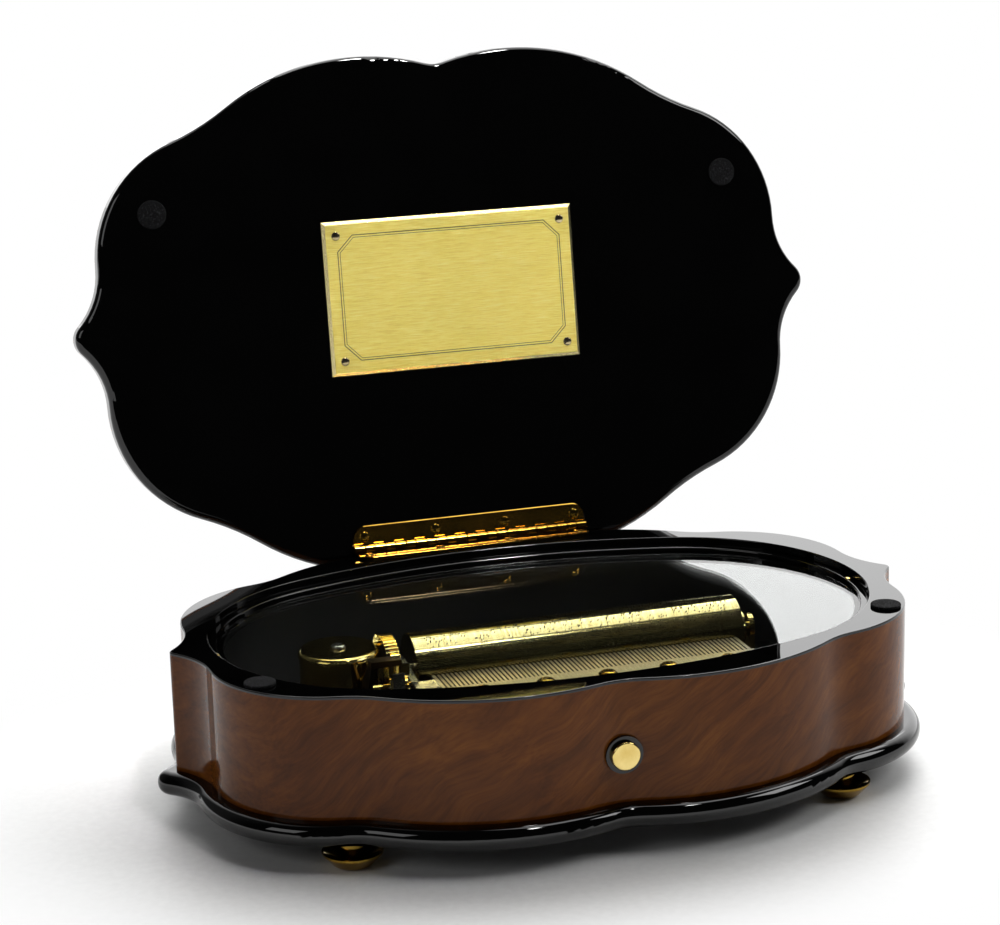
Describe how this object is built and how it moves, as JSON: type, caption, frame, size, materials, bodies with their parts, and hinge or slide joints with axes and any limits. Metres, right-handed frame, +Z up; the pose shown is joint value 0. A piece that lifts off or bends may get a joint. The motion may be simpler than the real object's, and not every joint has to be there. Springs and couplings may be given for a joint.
{
  "type": "cylinder music box",
  "caption": "Scalloped wooden music box with an open hinged lid, oval glass over a pinned cylinder and steel comb, brass feet, start button and winding key below.",
  "frame": {"origin": "on the standing surface under the middle of the oval well, between the four feet", "axes": "+X to the right along the case's length, +Y from the start button to the hinge, +Z up"},
  "size_m": [0.2796, 0.2168, 0.2375],
  "materials": {
    "black_lacquer": "black high gloss lacquer",
    "wood_veneer": "glossy figured veneer",
    "inner_wood": "plain sanded",
    "brass": "polished",
    "hinge_brass": "polished, darkened",
    "polished_steel": "polished",
    "clear_glass": "polished",
    "felt": "felted",
    "black_bush": "gloss"
  },
  "bodies": {
    "case": {"base_plinth": "black_lacquer", "feet": "brass", "bottom_board": "inner_wood", "case_wall": "inner_wood", "case_veneer": "wood_veneer", "rim_frame": "black_lacquer", "glass_ledge": "inner_wood", "glass_cover": "clear_glass", "glass_moulding": "black_lacquer", "glass_screws": "brass", "rim_felt_pads": "felt", "hinge_leaf_case": "hinge_brass", "hinge_pin": "polished_steel", "hinge_screws_case": "hinge_brass", "button_bush": "black_bush", "button_spring": "polished_steel", "bedplate": "brass", "bedplate_pillars": "brass", "comb_bar": "brass", "comb": "polished_steel", "comb_screws": "polished_steel", "bracket_left": "polished_steel", "bracket_right": "brass", "governor_frame": "brass", "stop_lever_post": "polished_steel", "click_stud": "polished_steel"},
    "lid": {"lid_panel": "black_lacquer", "lid_top": "wood_veneer", "plaque": "brass", "plaque_screws": "brass", "lid_felt_pads": "felt", "hinge_leaf_lid": "hinge_brass", "hinge_screws_lid": "hinge_brass"},
    "button": {"start_button": "brass"},
    "arbor": {"cylinder_arbor": "polished_steel", "great_wheel": "brass"},
    "cylinder": {"cylinder_drum": "brass", "cylinder_end_caps": "brass", "tune_cam": "brass"},
    "barrel": {"spring_barrel": "brass", "barrel_cover": "brass", "mainspring": "polished_steel"},
    "winding": {"winding_arbor": "polished_steel", "ratchet_wheel": "polished_steel", "winding_key": "brass"},
    "click": {"click": "polished_steel"},
    "governor": {"governor_wheel": "brass"},
    "fan": {"governor_worm": "polished_steel", "air_fan": "brass"},
    "stop_lever": {"stop_lever": "polished_steel"}
  },
  "joints": [
    {"name": "lid_hinge", "type": "hinge", "parent": "case", "child": "lid", "pos_m": [0, 0.0852, 0.06025], "axis": [1, 0, 0], "range_deg": [0, 98.9]},
    {"name": "button_press", "type": "slide", "parent": "case", "child": "button", "axis": [0, 1, 0], "range_m": [0, 0.0025], "stiffness_N_per_m": 500},
    {"name": "cylinder_turn", "type": "hinge", "parent": "case", "child": "arbor", "pos_m": [0, 0.0089, 0.038], "axis": [1, 0, 0], "continuous": true},
    {"name": "cylinder_shift", "type": "slide", "parent": "arbor", "child": "cylinder", "axis": [1, 0, 0], "range_m": [0, 0.0008]},
    {"name": "barrel_turn", "type": "hinge", "parent": "case", "child": "barrel", "pos_m": [-0.07065, 0.0089, 0.035], "axis": [0, 0, 1], "continuous": true},
    {"name": "winding_turn", "type": "hinge", "parent": "case", "child": "winding", "pos_m": [-0.07065, 0.0089, 0.02], "axis": [0, 0, 1], "continuous": true},
    {"name": "click_lift", "type": "hinge", "parent": "case", "child": "click", "pos_m": [-0.06065, 0.0161, 0.02], "axis": [0, 0, 1], "range_deg": [0, 12], "stiffness_Nm_per_rad": 0.004},
    {"name": "governor_turn", "type": "hinge", "parent": "case", "child": "governor", "pos_m": [-0.055, -0.00735, 0.038], "axis": [1, 0, 0], "continuous": true},
    {"name": "fan_turn", "type": "hinge", "parent": "case", "child": "fan", "pos_m": [-0.058, -0.01635, 0.038], "axis": [0, 0, 1], "continuous": true},
    {"name": "stop_lever_turn", "type": "hinge", "parent": "case", "child": "stop_lever", "pos_m": [-0.03, -0.042, 0.0336], "axis": [0, 0, 1], "range_deg": [0, 4.9]}
  ],
  "couplings": [
    {"joint": "barrel_turn", "follows": "cylinder_turn", "ratio": 0.83333},
    {"joint": "governor_turn", "follows": "cylinder_turn", "ratio": -3.3333},
    {"joint": "fan_turn", "follows": "cylinder_turn", "ratio": -93.333},
    {"joint": "stop_lever_turn", "follows": "button_press", "rad_per_m": 34}
  ]
}
